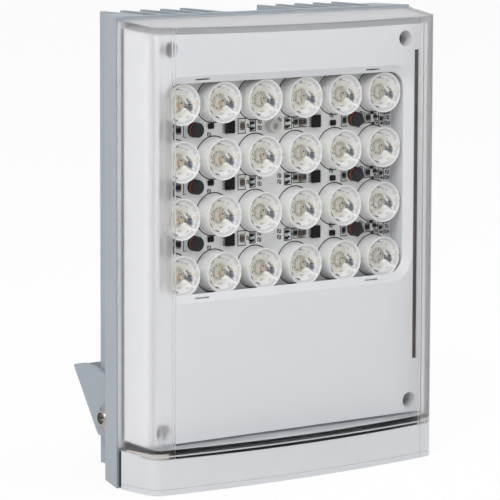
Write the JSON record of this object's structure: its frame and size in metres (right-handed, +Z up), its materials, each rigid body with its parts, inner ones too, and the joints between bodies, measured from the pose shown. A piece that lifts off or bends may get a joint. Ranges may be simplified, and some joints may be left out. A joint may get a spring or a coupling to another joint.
{
  "type": "white light illuminator",
  "caption": "Finned aluminium floodlight with a clear bowed cover, white bezel, lensed emitters, a white lower cap and a tilting rear mounting bracket.",
  "frame": {"origin": "middle of the housing plate's bottom edge face, on the surface it stands on", "axes": "+X to the viewer's right, +Y to the back, +Z up; the lit face looks along -Y"},
  "size_m": [0.1428, 0.0746, 0.1813],
  "materials": {
    "painted_aluminium": "satin powder coat",
    "seal": "matte",
    "clear_plastic": "clear polished",
    "cap_plastic": "smooth",
    "bezel_plastic": "satin",
    "board_mask": "solder mask",
    "thermal_pad": "matte",
    "emitter": "phosphor",
    "steel": "plain",
    "ferrite": "matte",
    "black_plastic": "moulded",
    "ceramic": "fired",
    "resistor_body": "glazed",
    "driver_mask": "solder mask",
    "terminal_plastic": "moulded",
    "gland_plastic": "moulded nylon",
    "cup_plastic": "moulded",
    "lens_plastic": "clear polished"
  },
  "bodies": {
    "housing": {"bezel": "bezel_plastic", "bezel_screws": "steel", "board_coils": "ferrite", "board_screws": "steel", "cable_gland": "gland_plastic", "cap_screws": "steel", "capacitors": "ceramic", "clear_cover": "clear_plastic", "diodes": "black_plastic", "driver_board": "driver_mask", "driver_chips": "black_plastic", "driver_parts": "black_plastic", "foot_seal": "seal", "gasket": "seal", "gland_dome_nut": "gland_plastic", "gland_lock_nut": "gland_plastic", "housing": "painted_aluminium", "led_board": "board_mask", "led_emitters": "emitter", "lens_01": "lens_plastic", "lens_02": "lens_plastic", "lens_03": "lens_plastic", "lens_04": "lens_plastic", "lens_05": "lens_plastic", "lens_06": "lens_plastic", "lens_07": "lens_plastic", "lens_08": "lens_plastic", "lens_09": "lens_plastic", "lens_10": "lens_plastic", "lens_11": "lens_plastic", "lens_12": "lens_plastic", "lens_13": "lens_plastic", "lens_14": "lens_plastic", "lens_15": "lens_plastic", "lens_16": "lens_plastic", "lens_17": "lens_plastic", "lens_18": "lens_plastic", "lens_19": "lens_plastic", "lens_20": "lens_plastic", "lens_21": "lens_plastic", "lens_22": "lens_plastic", "lens_23": "lens_plastic", "lens_24": "lens_plastic", "lens_cups_row_1": "cup_plastic", "lens_cups_row_2": "cup_plastic", "lens_cups_row_3": "cup_plastic", "lens_cups_row_4": "cup_plastic", "lower_cap": "cap_plastic", "pivot_screw_left": "steel", "pivot_screw_right": "steel", "resistors": "resistor_body", "terminal_block": "terminal_plastic", "thermal_pad": "thermal_pad", "vent_plug": "gland_plastic", "washer_left": "steel", "washer_right": "steel"},
    "bracket": {"bracket": "painted_aluminium"}
  },
  "joints": [
    {"name": "bracket_tilt", "type": "hinge", "parent": "housing", "child": "bracket", "pos_m": [0, 0.0204, 0.0231], "axis": [1, 0, 0], "range_deg": [-55, 34]}
  ]
}
